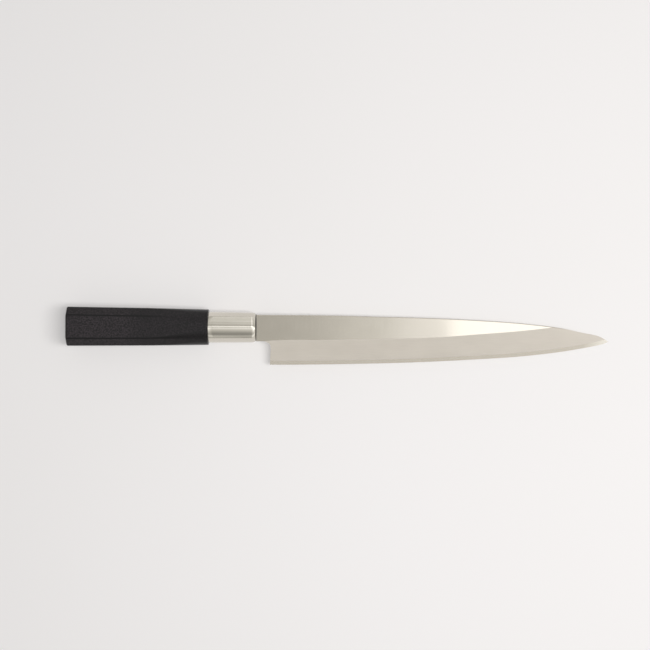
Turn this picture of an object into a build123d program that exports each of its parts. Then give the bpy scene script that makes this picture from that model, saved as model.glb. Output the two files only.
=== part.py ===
from build123d import *
import math
import os

# A yanagiba, the long single-bevel slicing knife, lying on its flat back.
# Millimetres. While it is built, X runs from the handle to the tip, Y from the edge
# to the spine and Z up out of the bevelled face. Zero is on the handle's centre line,
# where the blade's shoulder meets the mouth of the ferrule.

# Blade
edge_length = 210.0          # heel to tip, along the knife
blade_depth = 30.75          # spine to edge at the heel
blade_thickness = 2.2        # the flat steel that it is ground from
spine_height = 7.75          # spine above the handle's centre line
tip_drop = 15.15             # spine at the neck down to the tip
neck_length = 8.6            # ferrule mouth to the foot of the heel
neck_depth = 16.25           # spine to the underside of the neck
neck_round = 3.8             # concave corner between neck and heel
heel_lean = 0.5              # top of the heel stands this far ahead of its foot
spine_chamfer = 0.35         # broken corner along the front of the spine

# Grinding
bevel_width = 15.1           # ridge line down to the edge, at the heel
edge_bevel_width = 2.5       # narrow bevel that carries the edge
edge_bevel_thickness = 0.5   # steel left where the wide bevel meets the narrow one
edge_land = 0.08             # steel left at the very edge
hollow_rim = 2.6             # flat rim round the hollow of the back
hollow_depth = 0.3           # deepest point of the hollow
hollow_start = 12.0          # heel to the hollow's rear end
hollow_end = 14.0            # tip to the hollow's front end

# Tang
tang_length = 76.0           # shoulder to the end of the tang
tang_thickness = 2.0         # ground a little under the blade's
tang_depth = 10.0            # at the shoulder, along Y
tang_end_depth = 7.0         # at its end, along Y

# Handle
handle_length = 88.6         # butt to the face that the ferrule seats on
handle_thickness = 20.0      # between the two wide facets, along Z
butt_depth = 24.2            # along Y at the butt
fade_depth = 23.15           # along Y where the facets begin to fade
front_depth = 22.0           # along Y at the ferrule
spine_facet_width = 5.0      # sloping facets on the spine side, seen from the front
edge_facet_width = 4.5       # sloping facets on the edge side, seen from the front
facet_height = 4.6           # sloping facets, along Z
facet_round = 1.5            # corner between two facets, where they are crisp
front_facet_width = 5.6      # sloping facets where they have faded, along Y
front_facet_height = 5.2     # the same, along Z
front_round = 8.2            # corner between two facets, where they have faded
facet_length = 52.0          # butt to where the facets begin to fade
butt_crown = 1.1             # rise of the butt's dome, over half its depth
butt_round = 1.2             # rounding of the butt's rim
front_rim_round = 0.4        # rounding of the handle's front rim

# Ferrule
ferrule_length = 29.2
ferrule_rear_diameter = 19.2
ferrule_front_diameter = 18.6
ferrule_wall = 0.6
lip_round = 1.1              # outside radius of the rolled-in lip

# Mouth seal
seal_showing = 0.3           # stands out of the lip, up to the blade's shoulder
seal_length = 3.2            # whole length, from the spigot to the blade's shoulder

# Fits
spigot_clearance = 0.05      # handle's spigot inside the ferrule, all round
seal_clearance = 0.05        # seal inside the ferrule, all round
bedding_thickness = 0.8      # adhesive on each side of the tang
bedding_end = 3.0            # adhesive beyond the end of the tang
cut_overrun = 1.0            # cutting solids stand this far outside what they cut

# Outlines, as shares. Along: of the edge length, counted from the heel.
# Drop: of the tip drop, counted down from the spine.
spine_shares = [(0.165, 0.003), (0.33, 0.042), (0.475, 0.084), (0.615, 0.163), (0.71, 0.240),
                (0.80, 0.353), (0.875, 0.499), (0.935, 0.671), (0.9805, 0.838)]
# Rise: of the edge's whole rise from heel to tip. Width: of the bevel width.
edge_shares = [(0.0, 0.0, 0.985), (0.12, 0.016, 1.013), (0.25, 0.054, 1.014), (0.38, 0.107, 1.003),
               (0.50, 0.179, 0.993), (0.62, 0.276, 1.026), (0.73, 0.381, 1.046), (0.80, 0.482, 1.051),
               (0.86, 0.588, 1.057), (0.92, 0.728, 1.074), (0.965, 0.847, 1.085), (0.985, 0.919, 1.092),
               (1.0, 1.0, 1.1)]
bevel_start_share = (-0.02, 0.0, 0.955)   # the wide bevel begins in the corner behind the heel
bevel_end_share = (1.02, 1.06, 1.12)      # and runs out past the tip
# Sunk: how much of its full depth there the hollow has. Below zero it is clear of the steel.
hollow_shares = [(0.0, -0.25), (0.04, 0.35), (0.12, 0.85), (0.3, 1.0), (0.55, 1.0), (0.8, 1.0),
                 (0.92, 0.8), (1.0, -0.4)]
fade_steps = 5               # sections between the crisp facets and the oval
rim_round_share = 0.8        # the butt's rounding stays under the facets' own corners

# Places that follow from the sizes
heel_x = neck_length
tip_x = heel_x + edge_length
edge_y = spine_height - blade_depth
tip_y = spine_height - tip_drop
neck_y = spine_height - neck_depth
front_z = blade_thickness / 2
back_z = -blade_thickness / 2
lip_x = -seal_showing
ferrule_rear_x = lip_x - ferrule_length
butt_x = ferrule_rear_x - handle_length
spigot_front_x = -seal_length
slot_end_x = -tang_length - bedding_end
mouth_radius = ferrule_front_diameter / 2 - lip_round
handle_bottom_z = -handle_thickness / 2
row_low_y = min(edge_y, -butt_depth / 2)
row_high_y = max(spine_height, butt_depth / 2)


def flat_face(corners):
    """The plane face inside a closed line of straight runs."""
    return Face(Wire(Polyline(*corners, close=True).edges()))


def across(x, points):
    """The corners square to X that a list of (y, z) points gives."""
    return [Vector(x, y, z) for y, z in points]


def edge_place(along, rise):
    """Where the edge runs, at a share of its length and of its rise."""
    return heel_x + along * edge_length, edge_y + rise * (tip_y - edge_y)


def spine_place(along, drop):
    """Where the spine runs, at a share of the edge's length and of the tip's drop."""
    return heel_x + along * edge_length, spine_height - drop * tip_drop


def between(rows, along):
    """Straight reading between the rows of a table of (along, value)."""
    for (x0, y0), (x1, y1) in zip(rows, rows[1:]):
        if along <= x1:
            return y0 + (y1 - y0) * (along - x0) / (x1 - x0)
    return rows[-1][1]


def blade_outline():
    """Neck, spine, tip, edge and heel, as one closed line."""
    spine = [spine_place(*row) for row in [(0.0, 0.0)] + spine_shares + [(1.0, 1.0)]]
    edge = [edge_place(along, rise) for along, rise, width in edge_shares]
    spine_end = (spine[-1][0] - spine[-2][0], spine[-1][1] - spine[-2][1])
    edge_end = (edge[-1][0] - edge[-2][0], edge[-1][1] - edge[-2][1])
    heel_top_x = heel_x + heel_lean
    round_start = (heel_top_x - neck_round, neck_y)
    round_end = (heel_top_x, neck_y - neck_round)
    neck = Line((0, neck_y), (0, spine_height))
    back = Line((0, spine_height), spine[0])
    spine_curve = Spline(*spine, tangents=[(1, 0), spine_end])
    edge_curve = Spline(*edge, tangents=[(1, 0), edge_end])
    heel = Line(edge[0], round_end)
    corner = RadiusArc(round_end, round_start, neck_round)
    underside = Line(round_start, (0, neck_y))
    return Wire([neck, back, spine_curve, edge_curve, heel, corner, underside])


def bevel_cutter():
    """What the two bevels grind away: a section square to X, carried from heel to tip."""
    slope = (edge_bevel_thickness - edge_land) / edge_bevel_width
    sections = []
    rows = [bevel_start_share] + edge_shares + [bevel_end_share]
    for along, rise, width in rows:
        x, y = edge_place(along, rise)
        ridge = y + bevel_width * width
        low = back_z + edge_land
        sections.append(flat_face(across(x, [
            (ridge, front_z),
            (y + edge_bevel_width, back_z + edge_bevel_thickness),
            (y - cut_overrun, low - cut_overrun * slope),
            (y - cut_overrun, front_z + cut_overrun),
            (ridge, front_z + cut_overrun)])))
    return loft(sections)


def hollow_cutter():
    """The hollow of the back, as a wheel grinds it: one arc, sunk less where the blade is narrow."""
    start = hollow_start / edge_length
    end = 1 - hollow_end / edge_length
    spine_rows = [(0.0, 0.0)] + spine_shares + [(1.0, 1.0)]
    edge_rows = [(along, rise) for along, rise, width in edge_shares]
    wheel_radius = (blade_depth / 2 - hollow_rim) ** 2 / (2 * hollow_depth)
    sections = []
    for place, sunk in hollow_shares:
        along = start + place * (end - start)
        x, low = edge_place(along, between(edge_rows, along))
        high = spine_place(along, between(spine_rows, along))[1]
        middle = (low + high) / 2
        half = (high - low) / 2 - hollow_rim
        crown = sunk * half ** 2 / (2 * wheel_radius)
        reach = math.sqrt(2 * wheel_radius * (crown + hollow_depth))
        foot = back_z - hollow_depth
        arc = ThreePointArc((x, middle - reach, foot), (x, middle, back_z + crown), (x, middle + reach, foot))
        rest = Polyline((x, middle + reach, foot), (x, middle + reach, foot - cut_overrun),
                        (x, middle - reach, foot - cut_overrun), (x, middle - reach, foot))
        sections.append(Face(Wire(arc.edges() + rest.edges())))
    return loft(sections)


def tang_solid():
    """The flat tang, narrowing towards its end."""
    outline = Polyline((0, tang_depth / 2), (0, -tang_depth / 2), (-tang_length, -tang_end_depth / 2),
                       (-tang_length, tang_end_depth / 2), close=True)
    flat = Face(Wire(outline.edges()))
    return extrude(flat, tang_thickness / 2, dir=(0, 0, 1), both=True)


def make_blade():
    """Flat plate, spine chamfered, bevels and hollow ground away, tang left on the end."""
    plate = extrude(Face(blade_outline()), blade_thickness / 2, dir=(0, 0, 1), both=True)
    front_face = plate.faces().sort_by(Axis.Z)[-1]
    neck_top_and_spine = front_face.edges().sort_by(Axis.Y)[-2:]
    plate = chamfer(neck_top_and_spine, spine_chamfer)
    ground = plate - bevel_cutter() - hollow_cutter()
    return ground + tang_solid()


def make_ferrule():
    """A slightly conical tube whose front end is rolled inwards to a lip."""
    rear = ferrule_rear_diameter / 2
    front = ferrule_front_diameter / 2
    roll_x = lip_x - lip_round
    outside = Line((ferrule_rear_x, rear), (roll_x, front))
    roll = CenterArc((roll_x, front - lip_round), lip_round, 0, 90)
    lip = Line((lip_x, mouth_radius), (lip_x - ferrule_wall, mouth_radius))
    inner_roll = CenterArc((roll_x, front - lip_round), lip_round - ferrule_wall, 0, 90)
    inside = Line((roll_x, front - ferrule_wall), (ferrule_rear_x, rear - ferrule_wall))
    rim = Line((ferrule_rear_x, rear - ferrule_wall), (ferrule_rear_x, rear))
    return revolve(Face(Wire([outside, roll, lip, inner_roll, inside, rim])), Axis.X, 360)


def make_mouth_seal():
    """A stepped plug: a flange behind the lip, and a nose that fills the mouth."""
    flange = ferrule_front_diameter / 2 - ferrule_wall - seal_clearance
    nose = mouth_radius - seal_clearance
    step_x = lip_x - lip_round
    profile = Polyline((spigot_front_x, 0), (spigot_front_x, flange), (step_x, flange),
                       (step_x, nose), (0, nose), (0, 0), close=True)
    plug = revolve(Face(Wire(profile.edges())), Axis.X, 360)
    return plug - tang_solid()


def octagon(x, depth, fade):
    """The corners of the handle's section square to X. The sloping facets widen as they fade."""
    high_width = spine_facet_width + (front_facet_width - spine_facet_width) * fade
    low_width = edge_facet_width + (front_facet_width - edge_facet_width) * fade
    height = facet_height + (front_facet_height - facet_height) * fade
    y = depth / 2
    z = handle_thickness / 2
    return across(x, [
        (y - high_width, z), (y, z - height), (y, height - z), (y - high_width, -z),
        (low_width - y, -z), (-y, height - z), (-y, z - height), (low_width - y, z)])


def faceted_grip(start_x, start_depth, fade_x):
    """Eight planes between two octagons, with the long corners rounded."""
    rear = octagon(start_x, start_depth, 0.0)
    front = octagon(fade_x, fade_depth, 0.0)
    planes = [flat_face(rear), flat_face(front)]
    for corner in range(len(rear)):
        planes.append(flat_face([rear[corner - 1], rear[corner], front[corner], front[corner - 1]]))
    block = Solid(Shell(planes))
    return fillet(block.edges().filter_by(Plane.YZ, reverse=True), facet_round)


def handle_body():
    """Straight facets at the butt, then a smooth change from octagon to oval."""
    start_x = butt_x - cut_overrun
    fade_x = butt_x + facet_length
    taper = (butt_depth - fade_depth) / facet_length
    grip = faceted_grip(start_x, butt_depth + cut_overrun * taper, fade_x)
    sections = [grip.faces().sort_by(Axis.X)[-1]]
    for step in range(1, fade_steps + 1):
        along = step / fade_steps
        fade = along * along * (3 - 2 * along)
        depth = fade_depth + (front_depth - fade_depth) * along
        corner = facet_round + (front_round - facet_round) * fade
        flat = flat_face(octagon(fade_x + along * (ferrule_rear_x - fade_x), depth, fade))
        sections.append(flat.fillet_2d(corner, flat.vertices()))
    return grip + loft(sections)


def butt_dome():
    """A ball whose surface is the dome of the butt."""
    reach = butt_depth / 2
    radius = (reach ** 2 + butt_crown ** 2) / (2 * butt_crown)
    return Pos(butt_x + radius, 0, 0) * Sphere(radius)


def handle_spigot():
    """The part of the handle that is inside the ferrule, with the ferrule's own slope."""
    rear = ferrule_rear_diameter / 2 - ferrule_wall - spigot_clearance
    front = ferrule_front_diameter / 2 - ferrule_wall - spigot_clearance
    root_x = ferrule_rear_x - cut_overrun
    profile = Polyline((root_x, 0), (root_x, rear), (ferrule_rear_x, rear), (spigot_front_x, front),
                       (spigot_front_x, 0), close=True)
    return revolve(Face(Wire(profile.edges())), Axis.X, 360)


def tang_slot():
    """The pocket for the tang, wider than it by the adhesive on each side."""
    grow = bedding_thickness
    outline = Polyline((spigot_front_x, tang_depth / 2 + grow), (spigot_front_x, -tang_depth / 2 - grow),
                       (slot_end_x, -tang_end_depth / 2 - grow), (slot_end_x, tang_end_depth / 2 + grow),
                       close=True)
    flat = Face(Wire(outline.edges()))
    return extrude(flat, tang_thickness / 2 + grow, dir=(0, 0, 1), both=True)


def make_handle():
    """The moulding: faceted grip with a domed butt, spigot for the ferrule, slot for the tang."""
    body = handle_body() & butt_dome()
    dome = body.faces().sort_by(Axis.X)[0]
    body = fillet(dome.edges(), min(butt_round, facet_round * rim_round_share))
    front = body.faces().sort_by(Axis.X)[-1]
    body = fillet(front.edges(), front_rim_round)
    return body + handle_spigot() - tang_slot()


def make_tang_bedding():
    """The adhesive is what the slot holds beside the tang."""
    return tang_slot() - tang_solid()


# The stored part stands on the handle's lower facet, with zero under the middle of its box.
centre_x = (butt_x + tip_x) / 2
centre_y = (row_low_y + row_high_y) / 2
to_row = Location((-centre_x, -centre_y, -handle_bottom_z))

pieces = {
    "blade": make_blade(),
    "ferrule": make_ferrule(),
    "handle": make_handle(),
    "tang_bedding": make_tang_bedding(),
    "mouth_seal": make_mouth_seal(),
}

os.makedirs("parts", exist_ok=True)
for node, shape in pieces.items():
    export_step(shape.moved(to_row), f"parts/{node}.step")
    size = shape.bounding_box().size
    print(f"{node}: {size.X:.2f} x {size.Y:.2f} x {size.Z:.2f} mm, {shape.volume:.0f} mm3")
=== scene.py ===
# %% [markdown]
# A yanagiba, the long slicing knife that is ground on one face only
#
# The real knife is a blade with a tang, a round steel ferrule, a moulded handle and a black
# plug that seals the ferrule's mouth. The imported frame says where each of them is. This file
# makes the skins that show, each as a surface worked out with numpy, and gives them finishes.
# Sizes are in millimetres in the knife's own frame: zero where the blade's shoulder meets the
# mouth, X to the tip, Y to the spine, Z up out of the ground face. One function turns them to
# metres in the frame that all the pieces share.

# %% Load the frame
import math

import bmesh
import bpy
import numpy as np
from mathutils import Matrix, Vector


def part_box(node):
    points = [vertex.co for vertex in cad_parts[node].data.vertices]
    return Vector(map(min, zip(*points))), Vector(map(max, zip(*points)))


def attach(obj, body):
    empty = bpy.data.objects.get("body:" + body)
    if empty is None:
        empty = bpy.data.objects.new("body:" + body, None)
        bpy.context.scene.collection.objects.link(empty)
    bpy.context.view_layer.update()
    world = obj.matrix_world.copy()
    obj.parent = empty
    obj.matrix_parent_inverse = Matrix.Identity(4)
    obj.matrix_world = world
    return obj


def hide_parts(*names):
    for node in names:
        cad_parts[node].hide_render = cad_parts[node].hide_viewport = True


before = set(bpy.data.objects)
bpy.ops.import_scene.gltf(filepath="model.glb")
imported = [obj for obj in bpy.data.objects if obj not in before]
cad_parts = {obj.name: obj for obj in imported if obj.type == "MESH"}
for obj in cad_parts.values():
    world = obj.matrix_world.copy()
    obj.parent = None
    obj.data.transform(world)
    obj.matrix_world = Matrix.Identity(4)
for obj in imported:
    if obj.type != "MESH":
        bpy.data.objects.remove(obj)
bpy.context.view_layer.update()
MM = 0.001

# %% [markdown]
# Where the pieces are. A CAD node's box gives its lowest and highest corner, so the shoulder,
# the butt, the tip and the handle's centre line are read from the frame and not typed.

# %% Places read from the frame
handle_low, handle_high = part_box("handle")
ferrule_low, ferrule_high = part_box("ferrule")
seal_low, seal_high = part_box("mouth_seal")
blade_low, blade_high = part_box("blade")
zero = np.array([seal_high.x, (handle_low.y + handle_high.y) / 2, (handle_low.z + handle_high.z) / 2])
butt_x = (handle_low.x - zero[0]) / MM
handle_front_x = (ferrule_low.x - zero[0]) / MM
lip_x = (ferrule_high.x - zero[0]) / MM
seal_rear_x = (seal_low.x - zero[0]) / MM
tip_x = (blade_high.x - zero[0]) / MM
spine_y = 7.75
edge_y = (blade_low.y - zero[1]) / MM
front_z = (blade_high.z - zero[2]) / MM
back_z = (blade_low.z - zero[2]) / MM
print(f"butt {butt_x:.1f}, handle's front {handle_front_x:.1f}, lip {lip_x:.1f}, tip {tip_x:.1f} mm")

# %% [markdown]
# One skin from many grids. Each surface below is a grid of points, one row beside the other.
# The grids of a piece share their border points, so welding them gives one closed mesh. A crease
# is wanted only where two surfaces of different kinds meet, such as the ridge between the flat
# and the bevel, so every grid carries a number, and an edge between two numbers is marked sharp.

# %% Grids to meshes
weld_distance = 0.002


def grid_faces(rows, columns, first, closed):
    """Four-cornered faces over a grid that is numbered row by row from first."""
    row = np.arange(rows - 1)[:, None] * columns
    column = np.arange(columns if closed else columns - 1)[None, :]
    beside = (column + 1) % columns
    corners = [row + column, row + beside, row + columns + beside, row + columns + column]
    return first + np.stack(corners, -1).reshape(-1, 4)


def crease_between(mesh):
    """An edge is sharp where the lowest and the highest grid number of its faces differ."""
    edge = np.empty(len(mesh.loops), int)
    mesh.loops.foreach_get("edge_index", edge)
    sides = np.empty(len(mesh.polygons), int)
    mesh.polygons.foreach_get("loop_total", sides)
    number = np.empty(len(mesh.polygons), int)
    mesh.attributes["grid"].data.foreach_get("value", number)
    number = np.repeat(number, sides)
    lowest = np.full(len(mesh.edges), number.max() + 1)
    highest = np.full(len(mesh.edges), -1)
    np.minimum.at(lowest, edge, number)
    np.maximum.at(highest, edge, number)
    sharp = mesh.attributes.new("sharp_edge", "BOOLEAN", "EDGE")
    sharp.data.foreach_set("value", lowest != highest)


def make_piece(name, grids, corner_shade_marks=None):
    """A mesh from grids, each a tuple of points in millimetres, crease number, slot and closed.

    Corner shade marks tell, from 0 to 1, which of the first grid's points lie on a rounded corner, where the
    handle's colour gets painted shade.
    """
    points, faces, numbers, slots = [], [], [], []
    first = 0
    for grid, number, slot, closed in grids:
        rows, columns = grid.shape[:2]
        made = grid_faces(rows, columns, first, closed)
        points.append(grid.reshape(-1, 3))
        faces.append(made)
        numbers.append(np.full(len(made), number))
        slots.append(np.full(len(made), slot))
        first += rows * columns
    mesh = bpy.data.meshes.new(name)
    mesh.from_pydata((np.concatenate(points) * MM + zero).tolist(), [], np.concatenate(faces).tolist())
    mesh.attributes.new("grid", "INT", "FACE").data.foreach_set("value", np.concatenate(numbers))
    mesh.polygons.foreach_set("material_index", np.concatenate(slots))
    if corner_shade_marks is not None:
        mark = np.zeros(len(mesh.vertices))
        mark[:corner_shade_marks.size] = corner_shade_marks.ravel()
        # The corner attribute carries the marks of painted shade on the handle's rounded corners.
        mesh.attributes.new("corner", "FLOAT", "POINT").data.foreach_set("value", mark)
    skin = bmesh.new()
    skin.from_mesh(mesh)
    bmesh.ops.remove_doubles(skin, verts=skin.verts, dist=weld_distance * MM)
    bmesh.ops.recalc_face_normals(skin, faces=skin.faces)
    open_edges = sum(1 for edge in skin.edges if len(edge.link_faces) != 2)
    skin.to_mesh(mesh)
    skin.free()
    mesh.polygons.foreach_set("use_smooth", np.ones(len(mesh.polygons), bool))
    crease_between(mesh)
    piece = bpy.data.objects.new(name, mesh)
    bpy.context.scene.collection.objects.link(piece)
    weighted = piece.modifiers.new("weighted", "WEIGHTED_NORMAL")
    weighted.keep_sharp = True
    print(f"{name}: {len(mesh.vertices)} points, {len(mesh.polygons)} faces, {open_edges} open edges")
    return piece


def joined(x, y, z):
    """Three arrays of coordinates as one grid of points."""
    return np.stack(np.broadcast_arrays(x, y, z), -1).astype(float)


# %% [markdown]
# The outline of the blade. Spine, edge and ridge are long easy curves. A draughtsman draws them
# with a thin bent rule, and its mathematics is the cubic spline: between two points it is a
# cubic, and slope and bend run on unbroken from one to the next. The points are shares of the
# length and of the drop, so that the curve keeps its character if a size changes.

# %% Spine, edge and ridge
neck_length = 8.6
neck_underside = -8.5
neck_round = 3.8
heel_lean = 0.5
bevel_width = 15.1
edge_bevel_width = 2.5
edge_bevel_thickness = 0.5
edge_land = 0.08
spine_chamfer = 0.35
tip_drop = 15.15
edge_length = tip_x - neck_length
tip_y = spine_y - tip_drop
# Spine: share of the length from the heel, share of the tip's drop.
spine_shares = np.array([
    (0.0, 0.0), (0.165, 0.003), (0.33, 0.042), (0.475, 0.084), (0.615, 0.163), (0.71, 0.240),
    (0.80, 0.353), (0.875, 0.499), (0.935, 0.671), (0.9805, 0.838), (1.0, 1.0)])
# Edge and ridge: share of the length, share of the edge's rise, share of the bevel's width.
edge_shares = np.array([
    (0.0, 0.0, 0.985), (0.12, 0.016, 1.013), (0.25, 0.054, 1.014), (0.38, 0.107, 1.003),
    (0.50, 0.179, 0.993), (0.62, 0.276, 1.026), (0.73, 0.381, 1.046), (0.80, 0.482, 1.051),
    (0.86, 0.588, 1.057), (0.92, 0.728, 1.074), (0.965, 0.847, 1.085), (0.985, 0.919, 1.092),
    (1.0, 1.0, 1.1)])
ridge_start_share = (-0.02, 0.0, 0.955)
ridge_end_share = (1.02, 1.06, 1.12)


def bent_rule(x, y, first_slope=None):
    """Cubic spline through points, as a function of x.

    The slope at each inner point is solved so that the bend on its left equals that on its
    right. Between two points the height is the Hermite cubic of their heights and slopes.
    At the ends the slope is the last chord's, or the given one at the start.
    """
    run = np.diff(x)
    rise = np.diff(y) / run
    inner = np.arange(1, len(x) - 1)
    matrix = np.eye(len(x))
    matrix[inner, inner - 1] = 1 / run[:-1]
    matrix[inner, inner] = 2 / run[:-1] + 2 / run[1:]
    matrix[inner, inner + 1] = 1 / run[1:]
    wanted = np.empty(len(x))
    wanted[inner] = 3 * (rise[:-1] / run[:-1] + rise[1:] / run[1:])
    wanted[0] = rise[0] if first_slope is None else first_slope
    wanted[-1] = rise[-1]
    slope = np.linalg.solve(matrix, wanted)

    def height(at):
        left = np.clip(np.searchsorted(x, at) - 1, 0, len(run) - 1)
        part = (at - x[left]) / run[left]
        level = y[left] * (1 - part) ** 2 * (1 + 2 * part) + y[left + 1] * part ** 2 * (3 - 2 * part)
        bend = slope[left] * part * (1 - part) ** 2 - slope[left + 1] * part ** 2 * (1 - part)
        return level + run[left] * bend

    return height


def ridge_place(rows):
    """X and Y of the ridge at rows of shares: the edge's place, and the bevel's width above it."""
    x = neck_length + rows[:, 0] * edge_length
    return x, edge_y + rows[:, 1] * (tip_y - edge_y) + rows[:, 2] * bevel_width


spine_rule = bent_rule(neck_length + spine_shares[:, 0] * edge_length,
                       spine_y - spine_shares[:, 1] * tip_drop, 0.0)
edge_rule = bent_rule(neck_length + edge_shares[:, 0] * edge_length,
                      edge_y + edge_shares[:, 1] * (tip_y - edge_y), 0.0)
ridge_rule = bent_rule(*ridge_place(np.vstack([ridge_start_share, edge_shares, ridge_end_share])))
print(f"blade: {edge_length:.1f} mm of edge, {spine_y - edge_y:.1f} mm deep at the heel")

# %% [markdown]
# Stations along the blade. All the blade's grids share one set of stations, so that their
# borders meet point on point. A station lies wherever a surface begins or ends: where the ridge
# runs out into the spine, and at both ends of the hollow in the back. Around the hollow's round
# ends and at the tip the stations crowd together. A few more cover the neck.

# %% Stations
station_count = 150
neck_station_count = 12
crowd_count = 13
crowd_reach = 14.0
fine_count = 4001
hollow_rim = 2.6
hollow_depth = 0.3
hollow_start = 12.0
hollow_end = 14.0
# Hollow: share of its length, share of its full depth. Below zero it is clear of the steel.
hollow_shares = np.array([
    (0.0, -0.25), (0.04, 0.35), (0.12, 0.85), (0.3, 1.0), (0.55, 1.0), (0.8, 1.0), (0.92, 0.8), (1.0, -0.4)])
round_x = neck_length + heel_lean - neck_round
round_y = neck_underside - neck_round
crowd = np.linspace(0, 1, crowd_count) ** 2
fine = np.linspace(0, 1, fine_count)


def neck_line(x):
    """Underside of the neck: straight, then the quarter circle that turns down to the heel."""
    past = np.clip(x - round_x, 0, neck_round)
    return round_y + np.sqrt(neck_round ** 2 - past ** 2)


def heel_line(y):
    """X of the heel at a height: a leaning line, and above it the quarter circle."""
    foot = neck_length + heel_lean * (y - edge_y) / (round_y - edge_y)
    above = np.clip(y - round_y, 0, neck_round)
    return np.where(y < round_y, foot, round_x + np.sqrt(neck_round ** 2 - above ** 2))


def where_zero(x, value):
    """The first place where a sampled value changes its sign, by a straight line between samples."""
    turn = np.argmax(np.sign(value[1:]) != np.sign(value[:-1]))
    share = value[turn] / (value[turn] - value[turn + 1])
    return x[turn] + share * (x[turn + 1] - x[turn])


corner = round_x + fine * neck_round
ridge_start_x = where_zero(corner, ridge_rule(corner) - neck_line(corner))
along = ridge_start_x + fine * (tip_x - ridge_start_x)
ridge_end_x = where_zero(along, spine_rule(along) - spine_chamfer - ridge_rule(along))
hollow_first = neck_length + hollow_start
hollow_last = tip_x - hollow_end
hollow_run = hollow_last - hollow_first
hollow_rule = bent_rule(hollow_first + hollow_shares[:, 0] * hollow_run, hollow_shares[:, 1])
inside = hollow_first + fine * hollow_run
hollow_rear_x = where_zero(inside, hollow_rule(inside))
hollow_front_x = where_zero(inside[::-1], hollow_rule(inside[::-1]))
stations = np.unique(np.concatenate([
    np.linspace(ridge_start_x, tip_x, station_count), [ridge_end_x], tip_x - crowd * crowd_reach,
    hollow_rear_x + crowd * crowd_reach, hollow_front_x - crowd * crowd_reach]))
stations = np.append(stations[:-1][np.diff(stations) > weld_distance], tip_x)
neck_stations = np.linspace(0, ridge_start_x, neck_station_count, endpoint=False)
upper_stations = np.concatenate([neck_stations, stations])
print(f"ridge {ridge_start_x:.1f} to {ridge_end_x:.1f} mm,"
      f" hollow {hollow_rear_x:.1f} to {hollow_front_x:.1f} mm")

# %% [markdown]
# The ground front. A maker takes a flat bar and grinds away what is above two slanting planes, so
# the front is the lowest of four heights: the flat, the broken corner along the spine, the wide
# bevel and the narrow bevel at the edge. Written as one minimum, the height is right everywhere,
# also near the tip, where the planes cut each other off. The rows of the grids only have to lie
# on the lines where one plane takes over from the next.

# %% The front as the lowest of four heights
edge_rows = 4
wide_rows = 9
flat_rows = 9
row_spread_share = 0.1
heel_rounds = 300
shoulder_z = back_z + edge_bevel_thickness


def front_height(x, y):
    """The lowest of flat, spine chamfer, wide bevel and edge bevel. The neck has no bevels."""
    spine, edge = spine_rule(x), edge_rule(x)
    shoulder = edge + edge_bevel_width
    narrow = back_z + edge_land + (edge_bevel_thickness - edge_land) * (y - edge) / edge_bevel_width
    wide = shoulder_z + (front_z - shoulder_z) * (y - shoulder) / (ridge_rule(x) - shoulder)
    top = np.minimum(front_z - (y - spine + spine_chamfer), front_z)
    return np.where(x < ridge_start_x, top, np.minimum(top, np.minimum(narrow, wide)))


def shoulder_line(x):
    """Where the narrow bevel meets the wide one, or the spine if that comes first."""
    return np.minimum(edge_rule(x) + edge_bevel_width, spine_rule(x))


def ridge_line(x):
    """Where the wide bevel ends: at the flat, at the spine's chamfer, or at the spine."""
    shoulder, spine = edge_rule(x) + edge_bevel_width, spine_rule(x)
    slope = (front_z - shoulder_z) / (ridge_rule(x) - shoulder)
    at_chamfer = (front_z - shoulder_z + spine - spine_chamfer + slope * shoulder) / (1 + slope)
    return np.maximum(np.minimum(np.minimum(ridge_rule(x), at_chamfer), spine), shoulder_line(x))


def lower_rows(x):
    """Heights of the rows of both bevels: each row is a fixed share between its two lines."""
    edge, wide_x = edge_rule(x[:edge_rows]), x[edge_rows:]
    narrow = np.linspace(0, 1, edge_rows, endpoint=False)[:, None] * (shoulder_line(x[:edge_rows]) - edge)
    wide = np.linspace(0, 1, wide_rows)[:, None] * (ridge_line(wide_x) - shoulder_line(wide_x))
    return np.concatenate([edge + narrow, shoulder_line(wide_x) + wide])


def upper_rows(x):
    """Heights of the rows of the flat, and of one more row for the chamfer along the spine."""
    low = np.where(x < ridge_start_x, neck_line(x), ridge_line(x))
    high = np.maximum(spine_rule(x) - spine_chamfer, low)
    flat = low + np.linspace(0, 1, flat_rows)[:, None] * (high - low)
    return np.concatenate([flat, np.maximum(spine_rule(x), low)[None]])


# The bevels' rows begin on the heel. Each row's start is found by going to the heel at the row's
# own height, again and again, until it no longer moves.
row_start = np.full(edge_rows + wide_rows, neck_length)
for step in range(heel_rounds):
    row_start = heel_line(lower_rows(row_start[:, None])[:, 0])
row_start[-1] = ridge_start_x
share_along = (stations - ridge_start_x) / (tip_x - ridge_start_x)
spread = np.clip(1 - share_along / row_spread_share, 0, 1) ** 2
lower_x = stations + (row_start - ridge_start_x)[:, None] * spread
lower_y = lower_rows(lower_x)
upper_y = upper_rows(upper_stations)
upper_x = np.broadcast_to(upper_stations, upper_y.shape)
lower_z = front_height(lower_x, lower_y)
upper_z = front_height(upper_x, upper_y)
print(f"heel: the rows start {row_start.min():.2f} to {row_start.max():.2f} mm from the shoulder")

# %% [markdown]
# The back. It is flat with a long shallow hollow, ground on a big wheel, so that only a narrow rim
# touches the food and the whetstone. Across the blade the hollow is an arc of the wheel's radius.
# The rows begin exactly behind the front's rows, so that heel and neck can be closed by straight
# walls, and they drift to the hollow's own lines before it begins.

# %% The hollow back
hollow_rows = 13
drift_start_x = neck_length + 2 * heel_lean
wheel_radius = ((spine_y - edge_y) / 2 - hollow_rim) ** 2 / (2 * hollow_depth)


def smooth_step(value):
    """From 0 to 1 with level ends: 3 s squared minus 2 s cubed."""
    part = np.clip(value, 0, 1)
    return part * part * (3 - 2 * part)


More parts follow.
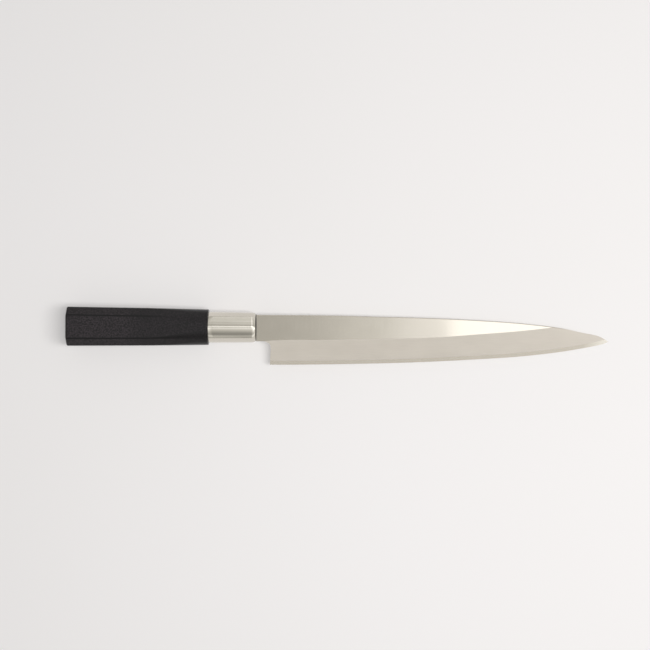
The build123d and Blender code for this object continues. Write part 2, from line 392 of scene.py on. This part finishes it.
def hollow_half_width(x):
    """Half the hollow's width: what the rims leave, times the root of its share of the full depth."""
    sunk = np.where((x > hollow_rear_x) & (x < hollow_front_x), np.maximum(hollow_rule(x), 0), 0)
    return ((spine_rule(x) - edge_rule(x)) / 2 - hollow_rim) * np.sqrt(sunk)


def drifted(x, front_y, back_y):
    """The front's rows near the heel, and the back's own rows from the hollow's rear end on."""
    drift = smooth_step((x - drift_start_x) / (hollow_rear_x - drift_start_x))
    return front_y + drift * (back_y - front_y)


def back_rows(x, front_y, low, high):
    """Rows of the back at even shares between two of its lines."""
    share = np.linspace(0, 1, len(front_y))[:, None]
    return drifted(x, front_y, low + share * (high - low))


def middle_line(x):
    """Halfway between edge and spine."""
    return (edge_rule(x) + spine_rule(x)) / 2


back_lower_y = back_rows(
    lower_x, lower_y, edge_rule(lower_x), middle_line(lower_x) - hollow_half_width(lower_x))
back_upper_y = back_rows(
    upper_x, upper_y, middle_line(upper_x) + hollow_half_width(upper_x), spine_rule(upper_x))
across = np.linspace(-1, 1, hollow_rows)[:, None]
half_width = hollow_half_width(stations)
hollow_y = drifted(stations, ridge_line(stations), middle_line(stations) + across * half_width)
hollow_z = back_z + half_width ** 2 * (1 - across ** 2) / (2 * wheel_radius)
print(f"hollow: wheel radius {wheel_radius:.0f} mm, deepest point {hollow_z.max() - back_z:.2f} mm")

# %% [markdown]
# The tang. It is hidden in the handle, a flat tongue that narrows to its end. A ring of corners is
# carried along, and at both ends the ring shrinks to its middle, which closes the prism.

# %% The tang
tang_length = 76.0
tang_depth = 10.0
tang_end_depth = 7.0
tang_thickness = 2.0
tang_root = 0.5


def closed_tube(x, half_y, half_z, ring):
    """A ring of unit corners, scaled at each station. Its first and last rows are poles."""
    y = np.multiply.outer(half_y, ring[:, 0])
    z = np.multiply.outer(half_z, ring[:, 1])
    return joined(np.asarray(x)[:, None], y, z)


tang_corners = np.array([(1, 1), (-1, 1), (-1, -1), (1, -1)])
tang = closed_tube(
    [tang_root, tang_root, -tang_length, -tang_length],
    np.array([0, tang_depth, tang_end_depth, 0]) / 2,
    np.array([0, tang_thickness, tang_thickness, 0]) / 2, tang_corners)

# %% [markdown]
# The blade's skin. Front, back and the narrow walls between them become one closed mesh. The five
# finishes on it are material slots: the buffed flat, the satin bevel, the honed edge, the satin
# back and the belt-ground narrow sides.

# %% The blade
buffed, satin, honed, wheel_ground, belt_ground = range(5)


def wall(x, y, top):
    """A straight wall from the front's border down to the back's plane."""
    return joined(x, y, np.stack([top, np.full_like(top, back_z)]))


neck = slice(0, neck_station_count + 1)
blade = make_piece("ground_blade", [
    (joined(lower_x, lower_y, lower_z)[:edge_rows + 1], 0, honed, False),
    (joined(lower_x, lower_y, lower_z)[edge_rows:], 1, satin, False),
    (joined(upper_x, upper_y, upper_z)[:flat_rows], 2, buffed, False),
    (joined(upper_x, upper_y, upper_z)[flat_rows - 1:], 3, belt_ground, False),
    (joined(lower_x, back_lower_y, back_z), 4, wheel_ground, False),
    (joined(upper_x, back_upper_y, back_z), 4, wheel_ground, False),
    (joined(stations, hollow_y, hollow_z), 5, wheel_ground, False),
    (wall(lower_x[:, 0], lower_y[:, 0], lower_z[:, 0]), 6, belt_ground, False),
    (wall(upper_stations[neck], upper_y[0, neck], upper_z[0, neck]), 6, belt_ground, False),
    (wall(upper_x[:, 0], upper_y[:, 0], upper_z[:, 0]), 7, belt_ground, False),
    (wall(lower_x[0], lower_y[0], lower_z[0]), 8, honed, False),
    (wall(upper_stations, upper_y[-1], upper_z[-1]), 9, belt_ground, False),
    (tang, 10, belt_ground, True)])

# %% [markdown]
# The handle. Its section is an octagon with rounded corners. At the butt the corners are tight and
# the facets crisp; towards the ferrule the sloping facets widen and the corners swell until the
# section is an oval. A corner is worked out with complex numbers: the line that arrives and the
# line that leaves are two directions, their quotient is the turn, and the rounding is an arc
# of that turn about a centre set back from the corner.

# %% The handle's sections
facet_length = 52.0
butt_depth = 24.2
fade_depth = 23.15
front_depth = 22.0
handle_thickness = (handle_high.z - handle_low.z) / MM
spine_facet_width = 5.0
edge_facet_width = 4.5
facet_height = 4.6
facet_round = 1.5
front_facet_width = 5.6
front_facet_height = 5.2
front_round = 8.2
arc_steps = 10


def corners_of(depth, fade):
    """The octagon's corners as complex numbers y + iz, one row for each station."""
    high = spine_facet_width + (front_facet_width - spine_facet_width) * fade
    low = edge_facet_width + (front_facet_width - edge_facet_width) * fade
    drop = facet_height + (front_facet_height - facet_height) * fade
    y, z = depth / 2, np.full_like(depth, handle_thickness / 2)
    return np.stack([
        y - high + 1j * z, y + 1j * (z - drop), y + 1j * (drop - z), y - high - 1j * z,
        low - y - 1j * z, -y + 1j * (drop - z), -y + 1j * (z - drop), low - y + 1j * z], -1)


def rounded(corner, radius):
    """Arc centres and the outward directions along each arc, for corners that turn clockwise.

    The arc touches both lines at radius times the tangent of half the turn from the corner.
    """
    arriving = corner - np.roll(corner, 1, -1)
    leaving = np.roll(corner, -1, -1) - corner
    arriving, leaving = arriving / abs(arriving), leaving / abs(leaving)
    turn = np.angle(leaving / arriving)
    centre = corner + radius * (leaving * np.tan(abs(turn) / 2) - 1j * leaving)
    swept = np.exp(1j * turn[..., None] * np.linspace(0, 1, arc_steps + 1))
    return centre[..., None], 1j * arriving[..., None] * swept


def section(depth, fade, inset=0.0):
    """Points round the section, drawn in by inset, as complex numbers. Also the outward directions."""
    radius = (facet_round + (front_round - facet_round) * fade)[:, None]
    centre, outward = rounded(corners_of(depth, fade), radius)
    ring = centre + (radius[..., None] - inset) * outward
    return ring.reshape(len(depth), -1), outward.reshape(len(depth), -1)


# %% [markdown]
# The butt and the body. The butt is a shallow dome, part of a big ball, and its rim is rounded. A
# small ball that rolls in the corner between dome and side touches both, so its centre lies on
# the dome's ball made smaller by the rounding, and the rounding runs from the side's direction to
# the direction away from the big ball's middle.

# %% The handle
butt_crown = 1.1
butt_round = 1.2
front_rim_round = 0.4
body_steps = 8
fade_steps = 40
round_steps = 8
dome_steps = 8
corner_count = 8
spine_side_fade = 4.0
edge_side_fade = 0.65
spigot_rear_radius = 8.95
spigot_front_radius = 8.65
dome_radius = ((butt_depth / 2) ** 2 + butt_crown ** 2) / (2 * butt_crown)
dome_centre_x = butt_x + dome_radius

butt_ring, butt_outward = section(np.array([butt_depth]), np.zeros(1))
ball = butt_ring - butt_round * butt_outward
ball_x = dome_centre_x - np.sqrt((dome_radius - butt_round) ** 2 - abs(ball) ** 2)
away_x = (ball_x - dome_centre_x) / (dome_radius - butt_round)
away = ball / (dome_radius - butt_round)
opening = np.arccos((away * butt_outward.conj()).real)
part = np.linspace(1, 0, round_steps)[:, None]
side_weight = np.sin((1 - part) * opening) / np.sin(opening)
away_weight = np.sin(part * opening) / np.sin(opening)
rim = ball + butt_round * (side_weight * butt_outward + away_weight * away)
rim_x = ball_x + butt_round * away_weight * away_x
dome = np.linspace(0, 1, dome_steps, endpoint=False)[:, None] * rim[:1]
dome_x = dome_centre_x - np.sqrt(dome_radius ** 2 - abs(dome) ** 2)

fade_x = butt_x + facet_length
body_x = np.linspace(butt_x + 2 * butt_round, fade_x, body_steps, endpoint=False)
fading = np.linspace(0, 1, fade_steps)
fade_run = fade_x + fading * (handle_front_x - front_rim_round - fade_x)
body_depth = butt_depth + (body_x - butt_x) / facet_length * (fade_depth - butt_depth)
body, _ = section(body_depth, np.zeros(body_steps))
faded, _ = section(fade_depth + fading * (front_depth - fade_depth), smooth_step(fading))
quarter = np.linspace(0, math.pi / 2, round_steps)[1:, None]
_, front_outward = section(np.array([front_depth]), np.ones(1))
front_rim = faded[-1:] - front_rim_round * (1 - np.cos(quarter)) * front_outward
front_rim_x = handle_front_x - front_rim_round + front_rim_round * np.sin(quarter)
spigot = np.array([spigot_rear_radius, spigot_front_radius, 0])[:, None] * front_outward
spigot_x = np.array([handle_front_x, seal_rear_x, seal_rear_x])[:, None]


def rings(x, ring):
    """Complex rings and their X as a grid of points."""
    return joined(np.broadcast_to(x, ring.shape), ring.real, ring.imag)


grip = np.concatenate([
    rings(dome_x, dome), rings(rim_x, rim), rings(body_x[:, None], body),
    rings(fade_run[:, None], faded), rings(front_rim_x, front_rim)])

# Marks of the rounded corners, which get a darker tint: painted shade, for the dark reflection that the
# smooth corners show. Along the fade the marks on the spine side are gone after a quarter, and those on the
# edge side keep about a third of their strength.
on_arc = np.zeros(arc_steps + 1)
on_arc[1:-1] = 1
on_arc = np.tile(on_arc, corner_count)
spine_side = butt_ring[0].real > 0
left_over = np.where(
    spine_side, np.clip(1 - spine_side_fade * fading[:, None], 0, 1),
    1 - edge_side_fade * smooth_step(fading)[:, None])
# The butt's rounded rim gets the same painted shade as the corners.
rim_shade_mark = np.sin(part * math.pi).clip(0.0, 1.0)
corner_shade_marks = np.concatenate([
    np.zeros(dome.shape), np.maximum(rim_shade_mark, on_arc * (1 - part)), np.tile(on_arc, (body_steps, 1)),
    on_arc * left_over, np.zeros(front_rim.shape)])
handle = make_piece("moulded_handle", [
    (grip, 0, 0, True),
    (np.concatenate([grip[-1:], rings(spigot_x[:1], spigot[:1])]), 1, 0, True),
    (rings(spigot_x[:2], spigot[:2]), 2, 0, True),
    (rings(spigot_x[1:], spigot[1:]), 3, 0, True)], corner_shade_marks)

# %% [markdown]
# Turned pieces. The ferrule is a length of steel tube with its mouth rolled inwards, and the seal
# is a stepped plug. Both are turned shapes: a profile of length and radius goes once round the
# centre line, so a point is its radius times the cosine and the sine of the angle. Round corners
# of the profile are arcs of a circle or an ellipse about their centre. The lip rolls in over a
# longer way than its depth, and the rear rim is drawn in a little, along a parabola.

# %% Ferrule and mouth seal
around_steps = 144
rim_steps = 7
lip_steps = 14
nose_steps = 5
around = np.linspace(0, 2 * math.pi, around_steps, endpoint=False)
ferrule_rear_radius = (ferrule_high.z - ferrule_low.z) / MM / 2
ferrule_front_radius = 9.3
ferrule_wall = 0.6
lip_depth = 1.1
lip_run = 2.4
rim_run = 3.2
rim_drop = 0.15
seal_nose_round = 0.25


def turned(profile):
    """A profile of (x, radius) carried once round the X axis."""
    x, radius = np.array(profile).T
    return joined(x[:, None], np.outer(radius, np.cos(around)), np.outer(radius, np.sin(around)))


def arc(centre_x, centre_radius, run, rise, first, last, steps=8):
    """Profile points on an ellipse of half axes run and rise, from angle first to last in degrees."""
    angle = np.radians(np.linspace(first, last, steps))
    return list(zip(centre_x + run * np.cos(angle), centre_radius + rise * np.sin(angle)))


roll_x = lip_x - lip_run
roll_radius = ferrule_front_radius - lip_depth
fall = np.linspace(1, 0, rim_steps)
rear_rim = list(zip(handle_front_x + (1 - fall) * rim_run, ferrule_rear_radius - rim_drop * fall ** 2))
outside = (
    [(handle_front_x, ferrule_rear_radius - ferrule_wall)] + rear_rim
    + arc(roll_x, roll_radius, lip_run, lip_depth, 90, 0, lip_steps))
inner_side = arc(roll_x, roll_radius, lip_run - ferrule_wall, lip_depth - ferrule_wall, 0, 90) + [outside[0]]
ferrule = make_piece("drawn_ferrule", [
    (turned(outside[:2]), 1, 0, True),
    (turned(outside[1:]), 0, 0, True),
    (turned([outside[-1], inner_side[0]]), 2, 0, True),
    (turned(inner_side), 3, 0, True)])

mouth_radius = roll_radius
flange_radius = ferrule_front_radius - ferrule_wall
seal_step_x = lip_x - lip_depth
nose = arc(-seal_nose_round, mouth_radius - seal_nose_round, seal_nose_round, seal_nose_round,
           90, 0, nose_steps)
seal = make_piece("sealing_plug", [
    (turned([(seal_rear_x, 0), (seal_rear_x, flange_radius)]), 0, 0, True),
    (turned([(seal_rear_x, flange_radius), (seal_step_x, flange_radius)]), 1, 0, True),
    (turned([(seal_step_x, flange_radius), (seal_step_x, mouth_radius)]), 2, 0, True),
    (turned([(seal_step_x, mouth_radius)] + nose + [(0, 0)]), 3, 0, True)])

# %% [markdown]
# How a finish is written. Each material starts from what the real one is and how its surface was
# made. Colours are sRGB hex values, as a designer notes them, and one function turns them to the
# linear light that shaders reckon in. One small function adds a node with its settings and links.
# Patterns read Object coordinates, which are metres, so a pattern's scale is one over its real
# size in metres, different along X, Y and Z where the pattern is drawn out into lines.

# %% Colour and node helpers
def linear(hex_colour):
    """Linear RGBA from an sRGB hex value, by the sRGB curve."""
    srgb = np.array([int(hex_colour[place:place + 2], 16) for place in (1, 3, 5)]) / 255
    light = np.where(srgb <= 0.04045, srgb / 12.92, ((srgb + 0.055) / 1.055) ** 2.4)
    return (*light.tolist(), 1.0)


def add(tree, kind, sockets=None, **settings):
    """Adds a node. Settings are its properties; sockets maps inputs to values or to outputs."""
    made = tree.nodes.new("ShaderNode" + kind)
    for name, value in settings.items():
        setattr(made, name, value)
    for name, value in (sockets or {}).items():
        if isinstance(value, bpy.types.NodeSocket):
            tree.links.new(value, made.inputs[name])
        else:
            made.inputs[name].default_value = value
    return made


def pattern(tree, size, detail=2.0, roughness=0.5, offset=0.0):
    """Noise on Object coordinates whose grains measure size, in millimetres along X, Y and Z."""
    place = add(tree, "TexCoord").outputs["Object"]
    scale = [1 / (length * MM) for length in size]
    moved = add(tree, "Mapping", {"Vector": place, "Scale": scale, "Location": (offset, offset, offset)})
    noise = add(tree, "TexNoise", {
        "Vector": moved.outputs["Vector"], "Scale": 1.0, "Detail": detail, "Roughness": roughness})
    return noise.outputs["Fac"]


def ranged(tree, value, low, high, first=0.3, last=0.7):
    """What lies between first and last spread over low to high. Noise seldom leaves 0.3 to 0.7."""
    spread = add(tree, "MapRange", {
        "Value": value, "From Min": first, "From Max": last, "To Min": low, "To Max": high})
    return spread.outputs["Result"]


def along_knife(tree, first, last):
    """From 0 to 1 between two places along the knife, in millimetres from the shoulder."""
    place = add(tree, "SeparateXYZ", {0: add(tree, "TexCoord").outputs["Object"]}).outputs["X"]
    return ranged(tree, place, 0.0, 1.0, zero[0] + first * MM, zero[0] + last * MM)


def product(tree, first, second):
    """One value times another."""
    return add(tree, "Math", {0: first, 1: second}, operation="MULTIPLY").outputs[0]


def tinted(tree, share, first, second):
    """Between two colours, hex values or outputs, by a share from 0 to 1."""
    first, second = [linear(end) if isinstance(end, str) else end for end in (first, second)]
    return add(tree, "Mix", {"Factor": share, 6: first, 7: second}, data_type="RGBA").outputs[2]


def shaded(name, build):
    """A material whose shader build makes in its tree."""
    material = bpy.data.materials.new(name)
    material.use_nodes = True
    tree = material.node_tree
    tree.nodes.clear()
    add(tree, "OutputMaterial", {"Surface": build(tree).outputs[0]})
    print("finish:", name)
    return material


print("sRGB middle grey in linear light:", round(linear("#808080")[0], 3))

# %% [markdown]
# Steel. The blade is a hardenable stainless steel with about 13 percent chromium, a little
# darker and warmer than the ferrule's 18-8 tube. Every finish on it is a set of fine parallel
# scratches, only their direction, length and depth differ: a buffing wheel leaves almost none,
# a belt leaves a satin of short ones across the blade, the whetstone leaves finer ones. Real
# scratches are 5 to 20 microns apart, finer than a picture can show, so each pattern is drawn
# as coarse as the bands that the eye still sees, and the roughness stands for the rest.

# %% Steel finishes
# Two patterns added together lie between these sums.
lowest_sum = 0.7
highest_sum = 1.3
cloud_size = (18.0, 12.0, 12.0)
cloud_offset = 7.0
# The painted glint at the tip: its whole length, and the share of it at the tip where it is at full strength.
tip_glint_length = 16.0
full_glint_share = 1 / 3


def steel(name, dark, light, roughness, spread, lines, depth, painted_tip_glint=None):
    """Metal with scratches: lines is their size in mm along X, Y and Z, depth their height in mm.

    A painted tip glint is the lighter colour of the last millimetres, a painted highlight of the glint at the
    tip.
    """
    def build(tree):
        scratches = pattern(tree, lines, detail=3.0)
        clouds = pattern(tree, cloud_size, detail=1.0, offset=cloud_offset)
        blend = add(tree, "Math", {0: scratches, 1: clouds}, operation="ADD").outputs[0]
        share = ranged(tree, blend, 0.0, 1.0, lowest_sum, highest_sum)
        uneven = ranged(tree, blend, roughness - spread, roughness + spread, lowest_sum, highest_sum)
        bumped = add(tree, "Bump", {"Height": scratches, "Strength": 1.0, "Distance": depth * MM})
        colour = tinted(tree, share, dark, light)
        # A painted highlight: the last millimetres before the tip are lighter, for the glint there.
        if painted_tip_glint:
            near = along_knife(tree, tip_x - tip_glint_length, tip_x - tip_glint_length * full_glint_share)
            colour = tinted(tree, near, colour, painted_tip_glint)
        return add(tree, "BsdfPrincipled", {
            "Base Color": colour, "Metallic": 1.0, "Roughness": uneven,
            "Normal": bumped.outputs["Normal"]})
    return shaded(name, build)


# Name, darker and lighter colour, roughness and its spread, size and height of the scratches, and
# for the honed edge the colour of the painted highlight at its tip.
for finish in [
        steel("buffed_stainless_flat", "#CDC7BC", "#D0CABF", 0.07, 0.01, (0.5, 12.0, 12.0), 0.00004),
        steel("belt_satin_stainless_bevel", "#C7C0B6", "#CDC6BC", 0.32, 0.02, (9.0, 0.45, 0.45), 0.0006),
        # The honed edge's last colour is the painted highlight at the tip.
        steel("whetstone_honed_edge", "#C8C1B5", "#CCC5BA", 0.26, 0.01, (7.0, 0.3, 0.3), 0.0001, "#DFDACF"),
        steel("wheel_ground_stainless_back", "#C3BDAF", "#CCC6B8", 0.24, 0.04, (0.7, 9.0, 9.0), 0.002),
        steel("belt_ground_stainless_sides", "#BDB6A8", "#C8C1B2", 0.38, 0.04, (6.0, 0.5, 0.5), 0.004)]:
    blade.data.materials.append(finish)
ferrule.data.materials.append(
    steel("drawn_polished_stainless_tube", "#D0CBC0", "#D8D3C9", 0.10, 0.02, (26.0, 0.5, 0.5), 0.0008))

# %% [markdown]
# Plastic, rubber and epoxy. The handle is polypropylene, black right through, from a mould whose
# faces were spark eroded. That leaves a fine even grain of tiny pits, which breaks the reflection into
# speckles. Those speckles are painted into the colour as lighter specks, painted glints, stronger on
# the facets, and the rounded corners get a darker colour, painted shade. The real grain is about
# 0.15 mm, finer than a pixel, so it is drawn coarser, at 0.9 mm, with the same look. The seal is a
# soft elastomer, and the epoxy round the tang never shows.

# %% Moulded and cast finishes
grain_size = 0.9
grain_depth = 0.05
# Millimetres from the shoulder: the painted glints are strong up to the first, weak from the second.
strong_glints_end = -81.0
weak_glints_start = -70.0


def moulded_plastic(tree):
    """Black polypropylene with its grain, and lighter specks in its colour that are painted glints.

    The painted glints are stronger on the facets than where they fade, and the rounded corners get painted
    shade, a darker colour.
    """
    grain = pattern(tree, (grain_size,) * 3, detail=2.0, roughness=0.6)
    # The lighter specks are painted glints: the grain's reflection painted into the colour.
    speck = ranged(tree, grain, 0.0, 1.0, 0.36, 0.66)
    strong = tinted(tree, speck, "#060506", "#322C2F")
    weak = tinted(tree, speck, "#050505", "#231E21")
    speckled = tinted(tree, along_knife(tree, strong_glints_end, weak_glints_start), strong, weak)
    # The rounded corners get a darker colour: painted shade, for the dark reflection of their smooth
    # rounding.
    corner = add(tree, "Attribute", attribute_name="corner").outputs["Fac"]
    tint = tinted(tree, corner, speckled, "#070607")
    bumped = add(tree, "Bump", {"Height": grain, "Strength": 1.0, "Distance": grain_depth * MM})
    return add(tree, "BsdfPrincipled", {
        "Base Color": tint, "IOR": 1.49, "Specular IOR Level": 0.28,
        "Roughness": ranged(tree, grain, 0.30, 0.38), "Normal": bumped.outputs["Normal"]})


def soft_rubber(tree):
    """Black elastomer: dull, with the slightly dusty bloom that rubber has."""
    bloom = ranged(tree, pattern(tree, (1.5, 1.5, 1.5), detail=3.0), 0.0, 1.0)
    return add(tree, "BsdfPrincipled", {
        "Base Color": tinted(tree, bloom, "#0E0E0E", "#191818"), "IOR": 1.5, "Roughness": 0.62})


def cast_epoxy(tree):
    """Amber adhesive: glossy and slightly see-through, with a cloud of fine bubbles."""
    bubbles = ranged(tree, pattern(tree, (0.6, 0.6, 0.6), detail=2.0), 0.0, 1.0)
    return add(tree, "BsdfPrincipled", {
        "Base Color": tinted(tree, bubbles, "#B39A62", "#C9B27C"), "IOR": 1.55, "Roughness": 0.2,
        "Subsurface Weight": 0.15})


handle.data.materials.append(shaded("spark_eroded_black_polypropylene", moulded_plastic))
seal.data.materials.append(shaded("black_elastomer_seal", soft_rubber))
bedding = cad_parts["tang_bedding"]
bedding.data.materials.clear()
bedding.data.materials.append(shaded("cured_amber_epoxy", cast_epoxy))

# %% [markdown]
# The table. A knife's balance lies ahead of its ferrule, so on a table it tips until its point
# touches, and then it lies on the ferrule's lower front and the tip. The stored knife is level, so
# here the table slopes by that little, two degrees, and the camera looks square on the blade.

# %% The table
table_reach = 12000.0
table_gap = 0.02
lean_run = tip_x - roll_x
lean_rise = back_z + ferrule_front_radius
lean = math.atan2(lean_rise, lean_run)
table_x = np.array([roll_x - table_reach, roll_x + table_reach])
table_z = -ferrule_front_radius - table_gap + (table_x - roll_x) * math.tan(lean)
table_y = np.array([-table_reach, table_reach])
table_grid = joined(table_x[:, None], table_y[None, :], table_z[:, None])
table_mesh = bpy.data.meshes.new("table")
table_mesh.from_pydata((table_grid.reshape(-1, 3) * MM + zero).tolist(), [], [(0, 2, 3, 1)])
table = bpy.data.objects.new("table", table_mesh)
bpy.context.scene.collection.objects.link(table)
print(f"the table leans {math.degrees(lean):.2f} degrees")


backdrop_colour = "#F1EFEE"
even_share = 0.35
mirrored_even_share = 0.95


def pale_board(tree):
    """White card. Camera and steel see it partly as an even tone, which keeps its shadows faint."""
    cloud = ranged(tree, pattern(tree, (300.0, 300.0, 300.0), detail=1.0), 0.0, 1.0)
    card = add(tree, "BsdfPrincipled", {
        "Base Color": tinted(tree, cloud, "#F1EEEC", "#F3F0EF"), "Roughness": 0.9, "Specular IOR Level": 0.1})
    tone = add(tree, "Emission", {"Color": linear(backdrop_colour), "Strength": 1.0})
    rays = add(tree, "LightPath").outputs
    mirrored = product(tree, rays["Is Glossy Ray"], mirrored_even_share)
    seen = add(tree, "Math", {0: rays["Is Camera Ray"], 1: even_share, 2: mirrored}, operation="MULTIPLY_ADD")
    return add(tree, "MixShader", {0: seen.outputs[0], 1: card.outputs[0], 2: tone.outputs[0]})


table_mesh.materials.append(shaded("pale_card", pale_board))

# %% [markdown]
# The light. Two soft lamps hang over the right-hand side. The large one is there to be mirrored:
# the buffed flat is nearly a mirror, and where it mirrors the lamp on top of the room's bright part
# it turns white, so the lamp's near edge is a soft line across the blade. The small one gives the
# even light. It hangs in line with the knife, so that the shadows beside it stay faint, and steel
# doesn't mirror it.

# %% Lamps
def soft_lamp(name, size, place, glow):
    """A rectangular lamp that shines down from place. Its power is glow times pi times its area."""
    data = bpy.data.lights.new(name, "AREA")
    data.shape = "RECTANGLE"
    data.size, data.size_y = [length * MM for length in size]
    data.energy = glow * math.pi * data.size * data.size_y
    lamp = bpy.data.objects.new(name, data)
    lamp.location = np.array(place) * MM + zero
    lamp.visible_camera = False
    bpy.context.scene.collection.objects.link(lamp)
    print(f"{name}: {size[0]:.0f} by {size[1]:.0f} mm, {data.energy:.1f} W")
    return lamp


mirrored_size = (1300.0, 250.0)
mirrored_near_edge = 224.0
mirrored_low_edge = -75.0
mirrored_height = 1500.0
mirrored_glow = 0.5
even_size = (700.0, 250.0)
even_place = (370.0, -60.0, 1000.0)
even_glow = 14.5
mirrored_place = (mirrored_near_edge + mirrored_size[0] / 2,
                  mirrored_low_edge + mirrored_size[1] / 2, mirrored_height)
soft_lamp("mirrored_lamp", mirrored_size, mirrored_place, mirrored_glow)
even_lamp = soft_lamp("even_lamp", even_size, even_place, even_glow)
even_lamp.visible_glossy = False

# %% [markdown]
# The room. What polished steel shows is the room around it, so the room needs tones. They are
# functions of the direction alone, told as two angles from straight up, one towards the tip and
# one towards the spine. The room has two parts that meet just short of straight up. The near part,
# on the edge's side, is bright overhead and darker low down, with one paler band. The far part, on
# the spine's side, is darker overhead, with a bright band 3 to 9 degrees on. Both change along the
# knife too, and the far part is brightest 4 to 10 degrees towards the tip. Only mirrored rays see
# these tones. The light that dull surfaces get from the room is even, and the camera sees a plain
# backdrop.

# %% Room
# Degrees towards the spine and brightness, in the near part and in the far part.
near_across = [
    (-90, 0.40), (-82, 0.40), (-79, 0.59), (-66, 0.60), (-62.5, 0.60), (-58.5, 0.40), (-50, 0.385),
    (-40, 0.48), (-32, 0.60), (-24, 0.74), (-17, 0.84), (-9, 1.11), (90, 1.11)]
far_across = [
    (-90, 0.59), (1.6, 0.59), (3, 1.2), (9, 1.2), (11, 0.5), (17, 0.53), (22, 0.62), (27, 0.71),
    (34, 0.71), (37.5, 0.61), (41, 0.77), (46, 0.80), (54, 0.79), (62, 0.77), (72, 0.82), (90, 0.95)]
# Degrees towards the tip and times as bright.
near_along = [
    (-40, 1.3), (-16, 1.4), (-12, 1.25), (-8, 1.0), (-5, 0.86), (-2.4, 0.88), (-1.8, 0.97), (3, 1.08),
    (8, 1.2), (16, 1.3), (24, 1.75), (40, 1.9)]
far_along = [
    (-40, 0.6), (-16, 0.95), (-9, 1.1), (-5.5, 0.95), (-2, 1.02), (-0.2, 1.18), (0.3, 1.29),
    (0.8, 1.52), (1.8, 1.49), (2.5, 1.97), (3.4, 2.08), (3.9, 2.22), (10, 2.3), (14, 1.05), (40, 1.0)]
# Degrees towards the spine between which the near part goes over into the far part.
seam_start = -3.0
seam_end = -1.1
# Dark tones are a trace warmer. Between these two the colour clears to white.
warm_tone = 0.6
clear_tone = 1.2
highest_tone = 2.5
room_fill = 0.34


def tone_curve(tree, angle, table):
    """Tone by angle, straight between the rows of a table that goes as far down as up."""
    reach = table[-1][0]
    share = ranged(tree, angle, 0.0, 1.0, -math.radians(reach), math.radians(reach))
    curve = add(tree, "FloatCurve", {"Value": share})
    points = curve.mapping.curves[0].points
    for degrees, _ in table[2:]:
        points.new((degrees / reach + 1) / 2, 0.5)
    for point, (degrees, tone) in zip(points, table):
        point.location = ((degrees / reach + 1) / 2, tone / highest_tone)
        point.handle_type = "VECTOR"
    curve.mapping.update()
    return product(tree, curve.outputs["Value"], highest_tone)


scene = bpy.context.scene
world = bpy.data.worlds.new("pale_room")
world.use_nodes = True
world.cycles.sampling_method = "NONE"
tree = world.node_tree
tree.nodes.clear()
direction = add(tree, "SeparateXYZ", {0: add(tree, "TexCoord").outputs["Generated"]}).outputs
to_tip = add(tree, "Math", {0: direction["X"], 1: direction["Z"]}, operation="ARCTAN2").outputs[0]
to_spine = add(tree, "Math", {0: direction["Y"], 1: direction["Z"]}, operation="ARCTAN2").outputs[0]
near_tone = product(tree, tone_curve(tree, to_spine, near_across), tone_curve(tree, to_tip, near_along))
far_tone = product(tree, tone_curve(tree, to_spine, far_across), tone_curve(tree, to_tip, far_along))
far_share = ranged(tree, to_spine, 0.0, 1.0, math.radians(seam_start), math.radians(seam_end))
tone = add(tree, "Mix", {"Factor": far_share, 2: near_tone, 3: far_tone}).outputs[0]
rays = add(tree, "LightPath").outputs
clear_share = ranged(tree, tone, 0.0, 1.0, warm_tone, clear_tone)
room = add(tree, "Background", {"Color": tinted(tree, clear_share, "#FFFEF9", "#FFFFFF"), "Strength": tone})
even = add(tree, "Background", {"Color": linear("#FFFFFF"), "Strength": room_fill})
backdrop = add(tree, "Background", {"Color": linear(backdrop_colour), "Strength": 1.0})
mirrored = add(tree, "MixShader", {0: rays["Is Glossy Ray"], 1: even.outputs[0], 2: room.outputs[0]})
mixed = add(tree, "MixShader", {0: rays["Is Camera Ray"], 1: mirrored.outputs[0], 2: backdrop.outputs[0]})
add(tree, "OutputWorld", {"Surface": mixed.outputs[0]})
scene.world = world
scene.view_settings.view_transform = "Standard"
print(f"room: {len(near_across) + len(far_across)} tones across, {len(near_along) + len(far_along)} along")

# %% [markdown]
# The camera. It looks straight down on the blade from a little over a metre, as a product
# photographer's does, with a long lens so that both ends of the knife keep their size. The knife
# lies turned by less than half a degree in the picture.

# %% Camera
lens = 100.0
sensor = 36.0
picture_width = 402.66
picture_centre = np.array([42.61, 1.85, front_z])
picture_turn = math.radians(0.4)
distance = picture_width * lens / sensor
camera_data = bpy.data.cameras.new("camera")
camera_data.lens = lens
camera_data.sensor_width = sensor
camera_data.clip_end = 50.0
camera = bpy.data.objects.new("camera", camera_data)
camera.location = (picture_centre + np.array([0, 0, distance])) * MM + zero
camera.rotation_euler.z = picture_turn
scene.collection.objects.link(camera)
scene.camera = camera
print(f"camera {distance:.0f} mm above the blade")

# %% [markdown]
# What each piece stands for. A skin rides on the knife's one body and hides the CAD node that it
# replaces. The epoxy keeps its CAD mesh, as nothing of it shows.

# %% Pieces and the end
for piece, node, slot in [
        (blade, "blade", "blade_steel"), (ferrule, "ferrule", "ferrule_steel"),
        (handle, "handle", "handle_plastic"), (seal, "mouth_seal", "seal_rubber")]:
    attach(piece, "root")
    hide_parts(node)
bpy.context.view_layer.update()
